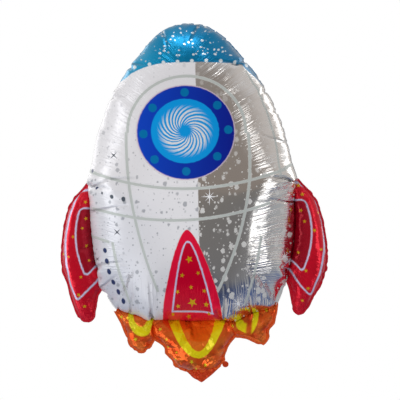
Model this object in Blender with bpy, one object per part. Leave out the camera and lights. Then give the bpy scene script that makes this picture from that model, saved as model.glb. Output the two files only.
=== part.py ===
"""Rocket-shaped foil balloon, inflated: two printed foil sheets heat-sealed along a flat seam.

Metres, +Z up. The seam lies in the plane y = 0 and the printed front faces -Y.
The origin is on the hull's axis, in the seam plane, at the hull's widest height,
which is where the air's lift acts on the floating balloon.
Every gas chamber (hull, two fins, three flames) is a front and a back sheet with a
10 mm wall, and the weld between the sheets is a flat strip around each chamber.
"""

import bmesh
import bpy
from math import acos, atan, atan2, cos, hypot, pi, sin
from mathutils import Matrix, Vector

MM = 0.001

# ---------------------------------------------------------------- driving dimensions, mm
WALL = 10.0            # thickness of each sheet's solid
GAP = 0.3              # clearance between neighbouring solids
WELD_THICK = 1.2       # the two sheets fused along the seam
HULL_WELD = 4.0        # width of the weld strip round the hull
FIN_WELD = 4.0         # and round the fins
FLAME_WELD = 3.0       # and round the flames
FIN_ROOT = 135.0       # depth below the origin down to which the fins touch the hull
PORTHOLE_HEIGHT = 86.0
PORTHOLE_RADIUS = 74.0
GLASS_RADIUS = 50.5
NOSE_LINE = 185.0      # height of the nose print's lower edge at the seam
NOSE_RISE = 0.25       # how much that edge climbs for each mm away from the seam
NECK_THICK = 2.4

HULL_SEGMENTS, HULL_RINGS = 40, 26

# ---------------------------------------------------------------- tables, mm
# Hull profile, from the nose tip down. Columns: height, left x, right x, half depth
HULL = [
    (277.2, 0.0, 0.0, 0.0),
    (272.0, -29.0, 29.0, 17.0),
    (262.0, -47.0, 47.0, 29.0),
    (244.0, -68.0, 68.0, 45.0),
    (214.5, -91.5, 91.5, 63.0),
    (185.0, -114.5, 114.5, 79.0),
    (145.0, -137.5, 137.5, 96.0),
    (100.0, -154.5, 154.5, 109.0),
    (50.0, -165.0, 165.0, 117.0),
    (0.0, -169.5, 169.5, 120.0),
    (-50.0, -169.0, 169.0, 119.0),
    (-92.0, -166.5, 166.5, 113.0),
    (-125.0, -160.0, 160.0, 104.0),
    (-155.0, -150.5, 150.5, 88.0),
    (-178.0, -141.5, 141.5, 70.0),
    (-193.0, -133.0, 133.0, 54.0),
    (-201.0, -112.0, 112.0, 41.0),
    (-208.5, -76.0, 76.0, 28.0),
    (-215.5, -38.0, 38.0, 15.0),
    (-218.5, 0.0, 0.0, 0.0),
]
# Fin on the +X side, from the upper end down. Columns: height, inner x, outer x, half depth
FIN = [
    (12.0, 177.0, 177.0, 0.0),
    (4.0, 174.0, 186.5, 9.0),
    (-8.0, 173.9, 196.0, 15.0),
    (-26.0, 173.8, 205.5, 20.0),
    (-56.0, 173.3, 213.0, 25.0),
    (-90.0, 171.5, 216.5, 27.0),
    (-115.0, 167.0, 218.0, 28.0),
    (-133.0, 162.0, 216.0, 28.0),
    (-150.0, 157.5, 209.0, 27.0),
    (-165.0, 158.5, 202.5, 25.0),
    (-182.0, 161.5, 194.0, 20.0),
    (-196.0, 163.5, 187.0, 15.0),
    (-204.0, 166.5, 179.5, 10.0),
    (-209.5, 172.0, 172.0, 0.0),
]
# Flames, from the weld below the hull down. Columns: height, left x, right x, half depth
LEFT_FLAME = [
    (-210.5, -97.0, -97.0, 0.0),
    (-212.0, -117.0, -78.0, 7.0),
    (-216.0, -124.0, -73.5, 13.0),
    (-224.0, -117.0, -72.5, 18.0),
    (-238.0, -111.0, -73.0, 20.0),
    (-250.0, -107.5, -74.0, 18.0),
    (-258.0, -103.5, -76.5, 14.0),
    (-264.0, -97.0, -80.5, 9.0),
    (-267.0, -89.0, -89.0, 0.0),
]
CENTRE_FLAME = [
    (-216.5, -4.0, -4.0, 0.0),
    (-218.5, -44.0, 40.0, 10.0),
    (-223.5, -64.0, 58.0, 18.0),
    (-234.0, -66.5, 67.0, 25.0),
    (-245.0, -63.5, 63.0, 27.0),
    (-257.0, -50.0, 52.0, 26.0),
    (-271.0, -43.0, 46.5, 23.0),
    (-283.0, -35.5, 44.5, 17.0),
    (-291.0, -20.0, 37.0, 10.0),
    (-295.0, 10.0, 10.0, 0.0),
]
RIGHT_FLAME = [
    (-210.0, 102.0, 102.0, 0.0),
    (-211.5, 82.0, 124.0, 8.0),
    (-215.5, 71.0, 130.5, 14.0),
    (-222.0, 70.0, 128.5, 19.0),
    (-231.0, 76.0, 119.0, 20.0),
    (-243.0, 86.5, 119.5, 18.0),
    (-251.0, 98.0, 118.5, 13.0),
    (-256.5, 111.0, 111.0, 0.0),
]
# Printed centre fin. Columns: height, half width
CENTRE_FIN = [
    (-64.0, 0.0),
    (-78.0, 9.5),
    (-100.0, 19.5),
    (-127.0, 31.5),
    (-150.0, 40.0),
    (-170.0, 44.5),
    (-185.0, 46.0),
    (-205.0, 45.0),
    (-235.0, 38.0),
]
# Filling neck below the centre flame, a flat tail. Columns: x, height
NECK = [(-19.5, -296.5), (-5.2, -309.5), (9.8, -318.5), (26.9, -305.2), (41.5, -292.0), (36.0, -296.0), (24.0, -299.0), (8.0, -299.6), (-8.0, -298.8)]
# Round tie tab at the neck's right corner: x, height, radius
TAB = (52.5, -290.0, 5.5)

# Name, rows, slant (rise of the upper weld for each mm of x), bow (its sag in the middle, mm), weld width, segments, rings, print colour
CHAMBERS = [
    ("left_fin", [(z, -xa, -xb, deep) for z, xa, xb, deep in FIN], 0.0, 0.0, FIN_WELD, 20, 16, "red_foil"),
    ("right_fin", FIN, 0.0, 0.0, FIN_WELD, 20, 16, "red_foil"),
    ("left_flame", LEFT_FLAME, -0.24, 0.0, FLAME_WELD, 18, 12, "orange_foil"),
    ("centre_flame", CENTRE_FLAME, 0.0, 9.0, FLAME_WELD, 24, 14, "orange_foil"),
    ("right_flame", RIGHT_FLAME, 0.24, 0.0, FLAME_WELD, 18, 12, "orange_foil"),
]

# Material name: colour, metallic, roughness
FINISHES = {
    "white_silver_foil": ((0.74, 0.75, 0.77), 0.75, 0.22),
    "blue_foil": ((0.03, 0.36, 0.66), 0.7, 0.25),
    "navy_print": ((0.01, 0.06, 0.42), 0.3, 0.35),
    "sky_print": ((0.05, 0.45, 0.75), 0.3, 0.35),
    "red_foil": ((0.62, 0.02, 0.08), 0.7, 0.22),
    "orange_foil": ((0.75, 0.20, 0.03), 0.75, 0.22),
    "clear_film": ((0.72, 0.74, 0.78), 0.6, 0.3),
}


# ---------------------------------------------------------------- helpers
def start():
    for ob in list(bpy.data.objects):
        bpy.data.objects.remove(ob, do_unlink=True)
    parts = bpy.data.collections.new("rocket_foil_balloon")
    tools = bpy.data.collections.new("cutters")
    bpy.context.scene.collection.children.link(parts)
    bpy.context.scene.collection.children.link(tools)
    return parts, tools


PARTS, TOOLS = start()


def finish_of(name):
    found = bpy.data.materials.get(name)
    if found:
        return found
    colour, metallic, roughness = FINISHES[name]
    mat = bpy.data.materials.new(name)
    mat.use_nodes = True
    shader = mat.node_tree.nodes["Principled BSDF"]
    shader.inputs["Base Color"].default_value = (*colour, 1.0)
    shader.inputs["Metallic"].default_value = metallic
    shader.inputs["Roughness"].default_value = roughness
    return mat


def place(name, mesh, finish=None):
    """A mesh as a part with its finish, or as a hidden cutter without one."""
    ob = bpy.data.objects.new(name, mesh)
    if finish:
        PARTS.objects.link(ob)
        mesh.materials.append(finish_of(finish))
        mesh.shade_smooth()
        mesh.set_sharp_from_angle(angle=0.7)
    else:
        TOOLS.objects.link(ob)
        ob.hide_render = True
        ob.display_type = "WIRE"
    return ob


def boolean(ob, kind, *cutters):
    for cutter in cutters:
        mod = ob.modifiers.new(f"{kind.lower()}_{cutter.name}", "BOOLEAN")
        mod.operation, mod.object, mod.solver = kind, cutter, "EXACT"
    return ob


def along(rows, share):
    """The table's row at a share of its length, on a smooth curve through the rows."""
    reach = [0.0]
    for a, b in zip(rows, rows[1:]):
        reach.append(reach[-1] + hypot(a[0] - b[0], ((a[2] - a[1]) - (b[2] - b[1])) / 2))
    want = share * reach[-1]
    k = max(i for i in range(len(rows) - 1) if reach[i] <= want or i == 0)
    t = min(1.0, (want - reach[k]) / (reach[k + 1] - reach[k]))

    def slope(i, c):
        lo, hi = max(0, i - 1), min(len(rows) - 1, i + 1)
        return (rows[hi][c] - rows[lo][c]) / (reach[hi] - reach[lo])

    span = reach[k + 1] - reach[k]
    out = []
    for c in range(len(rows[0])):
        p, q = rows[k][c], rows[k + 1][c]
        m, n = slope(k, c) * span, slope(k + 1, c) * span
        out.append((2 * t**3 - 3 * t**2 + 1) * p + (t**3 - 2 * t**2 + t) * m + (3 * t**2 - 2 * t**3) * q + (t**3 - t**2) * n)
    return out


def skin_point(rows, share, angle, slant, bow):
    """A point of a chamber's skin, in mm. Angle 0 is at +X in the seam plane."""
    z, xa, xb, deep = along(rows, share)
    middle, half = (xa + xb) / 2, abs(xb - xa) / 2
    x = middle + half * cos(angle)
    fade = max(0.0, 1.0 - 2.0 * share)
    mid_top = (rows[1][1] + rows[1][2]) / 2
    z += fade * (slant * (x - mid_top) - bow * max(0.0, 1.0 - ((x - mid_top) / 62.0) ** 2))
    return Vector((x, max(0.0, deep) * sin(angle), z))


def chamber_mesh(name, rows, segments, rings, slant=0.0, bow=0.0):
    """A ball primitive whose rings are moved to the table's sections."""
    bm = bmesh.new()
    bmesh.ops.create_uvsphere(bm, u_segments=segments, v_segments=rings, radius=1.0)
    for v in bm.verts:
        share = acos(max(-1.0, min(1.0, v.co.z))) / pi
        angle = atan2(v.co.y, v.co.x) + pi / segments
        v.co = skin_point(rows, round(share * rings) / rings, angle, slant, bow) * MM
    bmesh.ops.recalc_face_normals(bm, faces=bm.faces)
    mesh = bpy.data.meshes.new(name)
    bm.to_mesh(mesh)
    bm.free()
    return mesh


def inner_rows(rows):
    """The table of the gas space: each section less the wall, and the ends cut short."""
    kept = [r for r in rows if abs(r[2] - r[1]) > 2.9 * WALL and r[3] > 1.3 * WALL]
    made = []
    for z, xa, xb, deep in kept:
        side = WALL if xb > xa else -WALL
        made.append((z, xa + side, xb - side, deep - WALL))
    top, low = made[0], made[-1]
    first = (top[0] + 3.0, (top[1] + top[2]) / 2, (top[1] + top[2]) / 2, 0.0)
    last = (low[0] - 3.0, (low[1] + low[2]) / 2, (low[1] + low[2]) / 2, 0.0)
    return [first, *made, last]


def outline(rows, slant, bow, count, grow):
    """The chamber's outline in the seam plane, grown by that many mm, as (x, z) points."""
    ring = [skin_point(rows, k / count, 0.0, slant, bow) for k in range(count)]
    ring += [skin_point(rows, 1 - k / count, pi, slant, bow) for k in range(count)]
    points = []
    for i, p in enumerate(ring):
        step = ring[(i + 1) % len(ring)] - ring[i - 1]
        out = Vector((-step.z, step.x)) / hypot(step.x, step.z)
        points.append(Vector((p.x, p.z)) + out * grow)
    middle = sum(points, Vector((0.0, 0.0))) / len(points)
    turn = sum((points[i] - middle).x * (points[(i + 1) % len(points)] - middle).y - (points[i] - middle).y * (points[(i + 1) % len(points)] - middle).x for i in range(len(points)))
    if (turn > 0) != (grow_sign(ring) > 0):
        raise ValueError("the outline turned over")
    return points


def grow_sign(ring):
    return sum(a.x * b.z - a.z * b.x for a, b in zip(ring, ring[1:] + ring[:1]))


def plate(name, loops, thick, finish=None):
    """A flat plate in the seam plane from closed loops of (x, z) in mm; later loops are holes."""
    data = bpy.data.curves.new(name + "_outline", "CURVE")
    data.dimensions, data.fill_mode, data.extrude = "2D", "BOTH", thick / 2 * MM
    for loop in loops:
        spline = data.splines.new("POLY")
        spline.points.add(len(loop) - 1)
        for point, (x, z) in zip(spline.points, loop):
            point.co = (x * MM, z * MM, 0.0, 1.0)
        spline.use_cyclic_u = True
    guide = bpy.data.objects.new(name + "_guide", data)
    guide.matrix_world = Matrix.Rotation(pi / 2, 4, "X")
    TOOLS.objects.link(guide)
    bpy.context.view_layer.update()
    mesh = bpy.data.meshes.new_from_object(guide.evaluated_get(bpy.context.evaluated_depsgraph_get()))
    mesh.transform(guide.matrix_world)
    bpy.data.objects.remove(guide, do_unlink=True)
    bm = bmesh.new()
    bm.from_mesh(mesh)
    bmesh.ops.remove_doubles(bm, verts=bm.verts, dist=0.00001)
    bmesh.ops.recalc_face_normals(bm, faces=bm.faces)
    bm.to_mesh(mesh)
    bm.free()
    mesh.materials.clear()
    return place(name, mesh, finish)


def block(name, low, high, turn=0.0, about=(0.0, 0.0, 0.0)):
    """A box cutter from two corners in mm, turned about a line along X."""
    bm = bmesh.new()
    bmesh.ops.create_cube(bm, size=1.0)
    size = [(h - l) * MM for l, h in zip(low, high)]
    middle = [(h + l) / 2 * MM for l, h in zip(low, high)]
    bmesh.ops.scale(bm, vec=size, verts=bm.verts)
    bmesh.ops.translate(bm, vec=middle, verts=bm.verts)
    pivot = Vector(about) * MM
    bmesh.ops.rotate(bm, cent=pivot, matrix=Matrix.Rotation(turn, 3, "X"), verts=bm.verts)
    mesh = bpy.data.meshes.new(name)
    bm.to_mesh(mesh)
    bm.free()
    return place(name, mesh)


def drum(name, radius, height):
    """A round cutter along Y at the porthole."""
    bm = bmesh.new()
    bmesh.ops.create_cone(bm, cap_ends=True, segments=40, radius1=radius * MM, radius2=radius * MM, depth=0.4)
    bmesh.ops.rotate(bm, cent=(0, 0, 0), matrix=Matrix.Rotation(pi / 2, 3, "X"), verts=bm.verts)
    bmesh.ops.translate(bm, vec=(0, 0, height * MM), verts=bm.verts)
    bmesh.ops.recalc_face_normals(bm, faces=bm.faces)
    mesh = bpy.data.meshes.new(name)
    bm.to_mesh(mesh)
    bm.free()
    return place(name, mesh)


# ---------------------------------------------------------------- cutters
BIG = 400.0
HALVES = {
    "front": block("behind_the_seam", (-BIG, -GAP / 2, -BIG), (BIG, BIG, BIG)),
    "back": block("before_the_seam", (-BIG, -BIG, -BIG), (BIG, GAP / 2, BIG)),
}
tilt = atan(NOSE_RISE)
NOSE_CUT = {
    "front": block("nose_zone_front", (-BIG, -BIG, NOSE_LINE), (BIG, BIG, BIG), -tilt, (0, 0, NOSE_LINE)),
    "back": block("nose_zone_back", (-BIG, -BIG, NOSE_LINE), (BIG, BIG, BIG), tilt, (0, 0, NOSE_LINE)),
}
HULL_CUT = {
    "front": block("hull_zone_front", (-BIG, -BIG, -BIG), (BIG, BIG, NOSE_LINE - GAP), -tilt, (0, 0, NOSE_LINE)),
    "back": block("hull_zone_back", (-BIG, -BIG, -BIG), (BIG, BIG, NOSE_LINE - GAP), tilt, (0, 0, NOSE_LINE)),
}
PORTHOLE_OUT = drum("porthole_outer_cut", PORTHOLE_RADIUS + GAP, PORTHOLE_HEIGHT)
PORTHOLE_IN = drum("porthole_ring_zone", PORTHOLE_RADIUS, PORTHOLE_HEIGHT)
GLASS_OUT = drum("glass_cut", GLASS_RADIUS + GAP, PORTHOLE_HEIGHT)
GLASS_IN = drum("glass_zone", GLASS_RADIUS, PORTHOLE_HEIGHT)


def arch(grow):
    right = [(w + grow, z) for z, w in CENTRE_FIN]
    left = [(-w - grow, z) for z, w in reversed(CENTRE_FIN)]
    return [(0.0, CENTRE_FIN[0][0] + grow)] + right[1:] + left[:-1]


FIN_ZONE = plate("centre_fin_zone", [arch(0.0)], 300.0)
FIN_CUT = plate("centre_fin_cut", [arch(GAP)], 300.0)

# ---------------------------------------------------------------- hull, nose, porthole and centre fin
hull_skin = chamber_mesh("hull_skin", HULL, HULL_SEGMENTS, HULL_RINGS)
# The hull's gas space is its skin shrunk by the wall on each side.
top, low = HULL[0][0], HULL[-1][0]
wide, deep = max(r[2] for r in HULL), max(r[3] for r in HULL)
middle = (top + low) / 2
shrink = ((wide - WALL) / wide, (deep - WALL) / deep, ((top - low) / 2 - WALL) / ((top - low) / 2))
gas_mesh = chamber_mesh("hull_gas", [((r[0] - middle) * shrink[2] + middle, r[1] * shrink[0], r[2] * shrink[0], r[3] * shrink[1]) for r in HULL], 26, 16)
hull_gas = place("hull_gas_space", gas_mesh)

for side in ("front", "back"):
    other = HALVES[side]
    for name, finish, kept, cut in (
        (f"hull_{side}_sheet", "white_silver_foil", (HULL_CUT[side],), (PORTHOLE_OUT, FIN_CUT)),
        (f"nose_{side}_sheet", "blue_foil", (NOSE_CUT[side],), ()),
        (f"porthole_ring_{side}", "navy_print", (PORTHOLE_IN,), (GLASS_OUT,)),
        (f"porthole_glass_{side}", "sky_print", (GLASS_IN,), ()),
        (f"centre_fin_{side}", "red_foil", (FIN_ZONE,), ()),
    ):
        piece = place(name, hull_skin.copy(), finish)
        boolean(piece, "DIFFERENCE", hull_gas, other)
        boolean(piece, "INTERSECT", *kept)
        boolean(piece, "DIFFERENCE", *cut)

# ---------------------------------------------------------------- fins and flames
for name, rows, slant, bow, weld, segments, rings, finish in CHAMBERS:
    gas = place(f"{name}_gas_space", chamber_mesh(f"{name}_gas", inner_rows(rows), 12, 8, slant, bow))
    skin = chamber_mesh(f"{name}_skin", rows, segments, rings, slant, bow)
    for side in ("front", "back"):
        piece = place(f"{name}_{side}_sheet", skin.copy(), finish)
        boolean(piece, "DIFFERENCE", gas, HALVES[side])

# ---------------------------------------------------------------- weld strips in the seam plane
CLEAR = 0.4
hull_loops = [outline(HULL, 0.0, 0.0, HULL_RINGS, HULL_WELD), outline(HULL, 0.0, 0.0, HULL_RINGS, CLEAR)]
nose_band = block("nose_seam_zone", (-BIG, -50.0, NOSE_LINE), (BIG, 50.0, BIG))
hull_band = block("hull_seam_zone", (-BIG, -50.0, NOSE_LINE - GAP), (BIG, 50.0, BIG))
nose_seam = plate("nose_seam", hull_loops, WELD_THICK, "blue_foil")
boolean(nose_seam, "INTERSECT", nose_band)
hull_seam = plate("hull_seam", hull_loops, WELD_THICK, "clear_film")
boolean(hull_seam, "DIFFERENCE", hull_band)

hull_web = plate("hull_web_zone", [outline(HULL, 0.0, 0.0, HULL_RINGS, HULL_WELD + GAP)], 20.0)
# Beside the hull the fins' own weld merges into the hull's strip.
root_zone = {
    "left_fin": block("left_fin_root_zone", (-177.0, -50.0, -FIN_ROOT), (-100.0, 50.0, 30.0)),
    "right_fin": block("right_fin_root_zone", (100.0, -50.0, -FIN_ROOT), (177.0, 50.0, 30.0)),
}
taken = []
for name, rows, slant, bow, weld, segments, rings, finish in CHAMBERS:
    strip = plate(f"{name}_seam", [outline(rows, slant, bow, rings, weld), outline(rows, slant, bow, rings, CLEAR)], WELD_THICK, finish)
    boolean(strip, "DIFFERENCE", hull_web, *taken)
    if name in root_zone:
        boolean(strip, "DIFFERENCE", root_zone[name])
    if name.endswith("flame"):
        taken.append(plate(f"{name}_web_zone", [outline(rows, slant, bow, rings, weld + GAP)], 20.0))

# ---------------------------------------------------------------- filling neck and tie tab
neck = plate("filling_neck", [NECK], NECK_THICK, "orange_foil")
tab = plate("tie_tab", [[(TAB[0] + TAB[2] * cos(k * pi / 8), TAB[1] + TAB[2] * sin(k * pi / 8)) for k in range(16)]], WELD_THICK, "orange_foil")
for piece in (neck, tab):
    boolean(piece, "DIFFERENCE", *taken)
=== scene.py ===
"""Rocket-shaped foil balloon: the visual model over the CAD frame.

The two printed films are cut flat, welded along their outlines and inflated here with
Blender's cloth pressure, so the pleats along the welds come from the film itself.
Lengths in the tables are millimetres; the print is laid out in "art" units, 400 to the
picture's side, x to the right and y down, as the front is seen.
"""
import math

import bpy
import numpy as np
from mathutils import Matrix, Vector
from mathutils.geometry import delaunay_2d_cdt


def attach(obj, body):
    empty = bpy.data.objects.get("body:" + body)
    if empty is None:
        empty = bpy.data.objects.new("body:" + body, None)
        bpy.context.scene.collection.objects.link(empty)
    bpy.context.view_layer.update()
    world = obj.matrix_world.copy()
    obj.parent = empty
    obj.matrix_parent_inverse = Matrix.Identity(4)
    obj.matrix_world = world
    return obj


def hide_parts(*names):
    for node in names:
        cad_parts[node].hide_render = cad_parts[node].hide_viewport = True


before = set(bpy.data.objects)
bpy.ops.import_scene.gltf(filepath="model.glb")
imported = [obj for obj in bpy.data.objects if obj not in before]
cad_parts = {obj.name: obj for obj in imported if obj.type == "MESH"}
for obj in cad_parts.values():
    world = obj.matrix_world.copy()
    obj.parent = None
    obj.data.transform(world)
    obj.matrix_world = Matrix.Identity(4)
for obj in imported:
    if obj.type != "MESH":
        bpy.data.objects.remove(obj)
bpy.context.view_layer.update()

# ---------------------------------------------------------------- sizes, mm
STEP = 5.0              # spacing of the film's points
FLAT_WIDE = 1.34        # flat hull width over inflated width
FLAT_TALL = 1.17        # flat hull height over inflated height
DEPTH = 118.0           # half depth of the inflated hull
FLANGE = 3.6            # width of the weld strip outside the gas space
PX = 1.65               # one art unit on the seam plane
AXIS_PX, MID_PX = 191.5, 190.0
ROLL = math.radians(1.3)

# Inflated outline of the hull's gas space. Columns: height, half width
HULL = [
    (274.0, 0.0), (269.5, 27.0), (260.0, 45.0), (242.5, 66.0), (213.0, 89.0), (184.0, 111.5),
    (143.0, 134.0), (100.0, 151.5), (50.0, 163.5), (0.0, 168.5), (-50.0, 169.0), (-92.0, 166.0),
    (-125.0, 159.0), (-155.0, 149.0), (-178.0, 139.0), (-193.0, 132.0), (-201.0, 112.0),
    (-208.5, 76.0), (-214.0, 38.0), (-216.5, 0.0),
]
# Inflated outlines of the fins, from the upper root round to the lower root. Columns: x, height
LEFT_FIN = [
    (-164.0, 18.0), (-172.0, 10.0), (-193.0, -8.0), (-203.5, -24.0), (-212.0, -55.0), (-216.5, -88.0), (-218.0, -108.0),
    (-216.5, -131.0), (-207.5, -152.0), (-205.0, -167.0), (-202.0, -178.0), (-196.0, -197.0), (-191.5, -207.0),
    (-184.0, -213.5), (-174.0, -215.0), (-168.5, -208.0), (-166.0, -190.0), (-163.5, -174.0), (-157.0, -160.0),
    (-152.0, -150.0), (-149.0, -140.0),
]
RIGHT_FIN = [
    (164.0, 18.0), (172.0, 10.0), (193.0, -8.0), (203.5, -24.0), (212.0, -55.0), (216.5, -88.0), (218.0, -108.0),
    (216.5, -131.0), (210.0, -150.0), (205.5, -161.0), (194.0, -177.0), (186.5, -193.0), (177.0, -206.0),
    (170.5, -208.5), (165.5, -203.5), (162.5, -183.0), (160.0, -164.0), (153.0, -150.0), (149.0, -139.0),
]
# Inflated outlines of the flames, from the left root round to the right root. Columns: x, height
LEFT_FLAME = [
    (-131.5, -194.2), (-120.0, -217.0), (-110.5, -241.0), (-107.0, -254.0), (-92.5, -266.5), (-85.5, -266.5),
    (-76.5, -258.0), (-74.0, -248.5), (-72.0, -230.0), (-69.2, -211.0),
]
CENTRE_FLAME = [
    (-69.0, -211.0), (-68.0, -229.0), (-64.5, -244.0), (-49.0, -255.0), (-46.0, -268.0), (-36.5, -279.5),
    (-31.0, -291.0), (-17.0, -296.0), (10.0, -297.5), (36.0, -293.0), (46.0, -282.0), (46.0, -273.0),
    (51.5, -256.0), (63.5, -244.0), (68.5, -233.0), (60.0, -224.0), (53.4, -210.9),
]
RIGHT_FLAME = [
    (53.6, -210.9), (60.0, -221.5), (74.0, -235.5), (99.5, -251.0), (114.0, -256.0), (120.0, -244.5),
    (118.5, -231.0), (129.5, -221.0), (132.5, -201.6), (137.5, -184.0),
]
# Name, outline, flat width and height over the inflated ones, the point that keeps its place on the hull's edge
LOBES = [
    ("left_fin", LEFT_FIN, 1.40, 1.12, (-165.0, -75.0)),
    ("right_fin", RIGHT_FIN, 1.40, 1.12, (165.0, -75.0)),
    ("left_flame", LEFT_FLAME, 1.30, 1.35, (-98.0, -203.0)),
    ("centre_flame", CENTRE_FLAME, 1.30, 1.30, (-6.0, -216.5)),
    ("right_flame", RIGHT_FLAME, 1.30, 1.35, (98.0, -203.0)),
]
NECK = [(-20.0, -294.0), (-5.2, -309.5), (9.8, -318.0), (26.9, -305.0), (43.0, -290.5), (30.0, -290.0), (8.0, -291.0), (-10.0, -290.5)]
TAB = (49.5, -288.0, 5.3)


# ---------------------------------------------------------------- outlines
def even(points, step, closed=False):
    """A polyline's points at even spacing."""
    line = np.array(points, float)
    if closed:
        line = np.vstack([line, line[:1]])
    reach = np.r_[0, np.cumsum(np.hypot(*np.diff(line, axis=0).T))]
    count = max(3, int(round(reach[-1] / step)))
    at = np.linspace(0, reach[-1], count, endpoint=False) if closed else np.linspace(0, reach[-1], count + 1)
    return np.c_[np.interp(at, reach, line[:, 0]), np.interp(at, reach, line[:, 1])]


def softened(line, rounds, closed=False):
    line = line.copy()
    for _ in range(rounds):
        if closed:
            line = (np.roll(line, 1, 0) + 2 * line + np.roll(line, -1, 0)) / 4
        else:
            line[1:-1] = (line[:-2] + 2 * line[1:-1] + line[2:]) / 4
    return line


def within(points, loop):
    """Which points lie in a closed loop."""
    x, y = points[:, 0], points[:, 1]
    found = np.zeros(len(points), bool)
    for (xa, ya), (xb, yb) in zip(loop, np.roll(loop, -1, 0)):
        if ya != yb:
            found ^= ((yb > y) != (ya > y)) & (x < (xb - xa) * (y - ya) / (yb - ya) + xa)
    return found


def nearest(points, line):
    """Distance to the nearest of the line's points, and which one it is."""
    far, which = np.empty(len(points)), np.empty(len(points), int)
    for i in range(0, len(points), 3000):
        d = ((points[i : i + 3000, None] - line[None]) ** 2).sum(2)
        which[i : i + 3000] = d.argmin(1)
        far[i : i + 3000] = np.sqrt(d.min(1))
    return far, which


def along_weld(points, border):
    """Each point's distance to the weld, and how far along the weld its nearest place lies."""
    far, which = nearest(points, border)
    arc = np.r_[0, np.cumsum(np.hypot(*np.diff(border, axis=0).T))]
    place = arc[which]
    for step in (-1, 1):
        other = np.clip(which + step, 0, len(border) - 1)
        a, d = border[which], border[other] - border[which]
        long = np.hypot(*d.T)
        share = np.clip(((points - a) * d).sum(1) / np.maximum(long, 1e-9) ** 2, 0, 1) * (long < 1.6 * STEP)
        reach = np.hypot(*(points - a - d * share[:, None]).T)
        closer = reach < far
        far = np.where(closer, reach, far)
        place = np.where(closer, arc[which] + (arc[other] - arc[which]) * share, place)
    return far, place


def flat_pattern():
    """The flat cut, triangulated: points, triangles, each triangle's region, and the weld lines as chains of point numbers."""
    right = [(x, z) for z, x in HULL]
    loop = np.array(right + [(-x, z) for x, z in right[-2:0:-1]]) * [FLAT_WIDE, FLAT_TALL]
    hull = even(softened(even(loop, 3, True), 30, True), STEP, True)
    lines, edges, chains, zones = [hull], [(i, (i + 1) % len(hull)) for i in range(len(hull))], {"hull": list(range(len(hull)))}, {"hull": hull}
    count = len(hull)
    for name, outline, wide, tall, root in LOBES:
        anchor = np.array(root)
        flat = (np.array(outline) - anchor) * [wide, tall] + anchor * [FLAT_WIDE, FLAT_TALL]
        flat = even(softened(even(flat, 2), 4), STEP)
        free = np.where(~within(flat, hull) & (nearest(flat, hull)[0] > 0.6 * STEP))[0]
        run = flat[max(np.split(free, np.where(np.diff(free) > 1)[0] + 1), key=len)]
        first, last = (int(nearest(run[k : k + 1], hull)[1][0]) for k in (0, len(run) - 1))
        chain = [first, *range(count, count + len(run)), last]
        count += len(run)
        lines.append(run)
        edges += list(zip(chain[:-1], chain[1:]))
        chains[name] = chain
        n = len(hull)
        ways = [[(last + k) % n for k in range((first - last) % n + 1)], [(last - k) % n for k in range((last - first) % n + 1)]]
        zones[name] = np.vstack([hull[first], run, hull[min(ways, key=len)]])
    border = np.vstack(lines)
    rng = np.random.default_rng(5)
    low, high = border.min(0) - 1, border.max(0) + 1
    rows = [np.c_[np.arange(low[0], high[0], STEP) + (i % 2) * STEP / 2, np.full(len(np.arange(low[0], high[0], STEP)), z)] for i, z in enumerate(np.arange(low[1], high[1], STEP * 0.866))]
    inner = np.vstack(rows)
    inner += rng.uniform(-0.15, 0.15, inner.shape) * STEP
    kept = np.zeros(len(inner), bool)
    for zone in zones.values():
        kept |= within(inner, zone)
    inner = inner[kept]
    inner = inner[nearest(inner, border)[0] > 0.62 * STEP]
    points, _, faces, sources, _, _ = delaunay_2d_cdt([Vector(p) for p in np.vstack([border, inner])], edges, [], 0, 1e-4)
    points, faces = np.array([tuple(p) for p in points]), np.array([tuple(f) for f in faces])
    middles = points[faces].mean(1)
    region = np.full(len(faces), -1)
    for k, zone in list(enumerate(zones.values()))[::-1]:
        region[within(middles, zone)] = k
    faces, region = faces[region >= 0], region[region >= 0]
    a, b, c = (points[faces[:, k]] for k in range(3))
    turned = (b[:, 0] - a[:, 0]) * (c[:, 1] - a[:, 1]) < (b[:, 1] - a[:, 1]) * (c[:, 0] - a[:, 0])
    faces[turned] = faces[turned][:, ::-1]
    new_of = {}
    for new, olds in enumerate(sources):
        for old in olds:
            new_of[old] = new
    chains = {name: [new_of[i] for i in chain] for name, chain in chains.items()}
    welded = np.zeros(len(points), bool)
    welded[[new_of[i] for i in range(len(border))]] = True
    return points, faces, region, list(zones), chains, welded, border


def doubled(points, faces, welded, border):
    """Front and back film on the same cut, joined at the welds: places, triangles, and each point's number on either side."""
    far, which = nearest(points, border)
    # Pleats start at uneven places along the weld.
    rng = np.random.default_rng(21)
    starts = np.r_[0, np.cumsum(rng.uniform(0.6, 1.5, 600) * 13.0)]
    arc = np.r_[0, np.cumsum(np.hypot(*np.diff(border, axis=0).T))][which]
    k = np.searchsorted(starts, arc, side="right") - 1
    phase = k + (arc - starts[k]) / (starts[k + 1] - starts[k])
    lift = 0.2 + 0.8 * np.minimum(1, far / 15) + 1.5 * np.exp(-far / 25) * np.abs(np.sin(np.pi * phase))
    lift[welded] = 0
    n = len(points)
    back = np.arange(n) + n
    back[welded] = np.where(welded)[0]
    used = np.unique(np.r_[faces.ravel(), back[faces].ravel()])
    number = np.full(2 * n, -1)
    number[used] = np.arange(len(used))
    places = np.vstack([np.c_[points[:, 0], -lift, points[:, 1]], np.c_[points[:, 0], lift, points[:, 1]]])[used]
    triangles = np.vstack([number[faces], number[back[faces]][:, ::-1]])
    return places, triangles, number[:n], number[back]


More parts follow.
